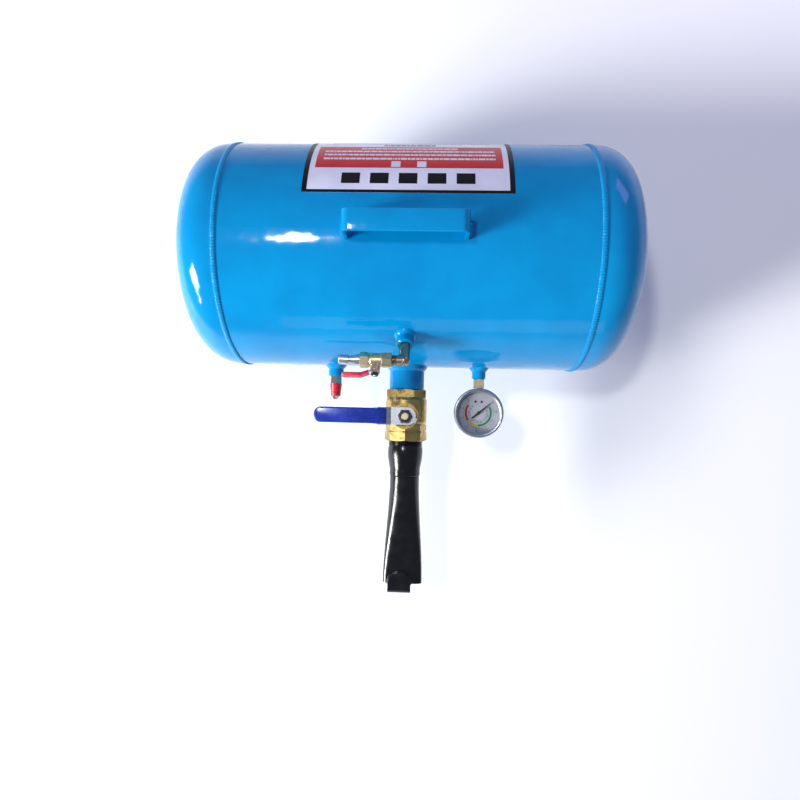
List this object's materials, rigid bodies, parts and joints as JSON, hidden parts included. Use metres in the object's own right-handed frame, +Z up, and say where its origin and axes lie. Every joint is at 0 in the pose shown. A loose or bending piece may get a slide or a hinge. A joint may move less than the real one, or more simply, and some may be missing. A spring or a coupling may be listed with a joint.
{
  "type": "air receiver tank",
  "caption": "Horizontal steel air receiver with domed heads, carry handle, feet, lever ball valve with bead-seating nozzle, fill valve, relief valve and dial gauge.",
  "frame": {"origin": "centre of the whole assembly's footprint, on the floor under the feet", "axes": "+X along the tank's axis with the gauge on the +X side, -Y the way the nozzle points, +Z up"},
  "size_m": [0.6234, 0.6164, 0.366],
  "materials": {
    "tank_paint": "gloss enamel over steel",
    "label_print": null,
    "galvanised_steel": "zinc plated",
    "black_enamel": "gloss black over steel",
    "valve_brass": "satin forged brass",
    "bright_brass": "bright nickelled brass",
    "ptfe": "satin",
    "stainless_ball": "polished",
    "lever_steel": "zinc plated",
    "blue_grip": "dipped vinyl",
    "red_grip": "dipped vinyl",
    "red_cap": "gloss",
    "nut_steel": "zinc plated",
    "spring_steel": "drawn wire",
    "seal_rubber": "matte",
    "gauge_black": "polished stainless steel",
    "gauge_brass": "machined",
    "clear_window": "clear",
    "dial_face": "printed aluminium dial",
    "pointer_black": "matte black",
    "steel_trim": "machined"
  },
  "bodies": {
    "tank": {"shell": "tank_paint", "head_left": "tank_paint", "head_right": "tank_paint", "weld_bead_left": "tank_paint", "weld_bead_right": "tank_paint", "handle": "tank_paint", "handle_welds": "tank_paint", "foot_left": "tank_paint", "foot_right": "tank_paint", "foot_welds": "tank_paint", "label": "label_print", "boss_welds": "tank_paint", "drain_plug": "galvanised_steel", "outlet_pipe": "tank_paint", "inlet_boss": "tank_paint", "safety_boss": "tank_paint", "gauge_boss": "tank_paint", "drain_boss": "tank_paint", "outlet_valve_body": "valve_brass", "outlet_valve_cap": "valve_brass", "outlet_valve_seats": "ptfe", "outlet_stem_packing": "ptfe", "outlet_gland": "valve_brass", "nozzle_reducer": "black_enamel", "nozzle_tube": "black_enamel", "nozzle_hook": "black_enamel", "inlet_elbow": "bright_brass", "quick_plug": "galvanised_steel", "fill_valve_body": "bright_brass", "fill_valve_cap": "bright_brass", "fill_valve_seats": "ptfe", "fill_stem_packing": "ptfe", "fill_gland": "valve_brass", "safety_body": "bright_brass", "safety_sleeve": "red_cap", "safety_adjuster": "bright_brass", "safety_spring": "spring_steel", "gauge_socket": "gauge_brass", "gauge_case": "gauge_black", "gauge_bezel": "gauge_black", "gauge_window": "clear_window", "gauge_dial": "dial_face", "dial_screws": "pointer_black", "movement_frame": "gauge_brass", "bourdon_tube": "gauge_brass"},
    "outlet_lever": {"outlet_valve_ball": "stainless_ball", "outlet_valve_stem": "valve_brass", "outlet_lever": "lever_steel", "outlet_lever_sleeve": "blue_grip", "outlet_lever_nut": "nut_steel"},
    "fill_lever": {"fill_valve_ball": "stainless_ball", "fill_valve_stem": "valve_brass", "fill_lever": "lever_steel", "fill_lever_sleeve": "red_grip", "fill_lever_nut": "nut_steel"},
    "safety_poppet": {"safety_poppet": "steel_trim", "safety_seal": "seal_rubber"},
    "sector": {"sector_gear": "gauge_brass"},
    "pointer": {"gauge_pointer": "pointer_black", "pinion_arbor": "steel_trim"}
  },
  "joints": [
    {"name": "outlet_lever_turn", "type": "hinge", "parent": "tank", "child": "outlet_lever", "pos_m": [0, -0.06205, 0.18], "axis": [0, 0, 1], "range_deg": [0, 90]},
    {"name": "fill_lever_turn", "type": "hinge", "parent": "tank", "child": "fill_lever", "pos_m": [-0.03449, 0.00652, 0.29698], "axis": [0, 0.9063, -0.4226], "range_deg": [0, 90]},
    {"name": "safety_lift", "type": "slide", "parent": "tank", "child": "safety_poppet", "axis": [0, -1, 0], "range_m": [0, 0.0015], "stiffness_N_per_m": 5000, "springref_m": -0.0056, "deforming": ["safety_spring"]},
    {"name": "sector_turn", "type": "hinge", "parent": "tank", "child": "sector", "pos_m": [0.1, -0.03176, 0.18], "axis": [0, 0, 1], "range_deg": [0, 38.57]},
    {"name": "pointer_turn", "type": "hinge", "parent": "tank", "child": "pointer", "pos_m": [0.1, -0.05576, 0.18], "axis": [0, 0, -1], "range_deg": [0, 270]}
  ],
  "couplings": [
    {"joint": "pointer_turn", "follows": "sector_turn", "ratio": 7}
  ]
}
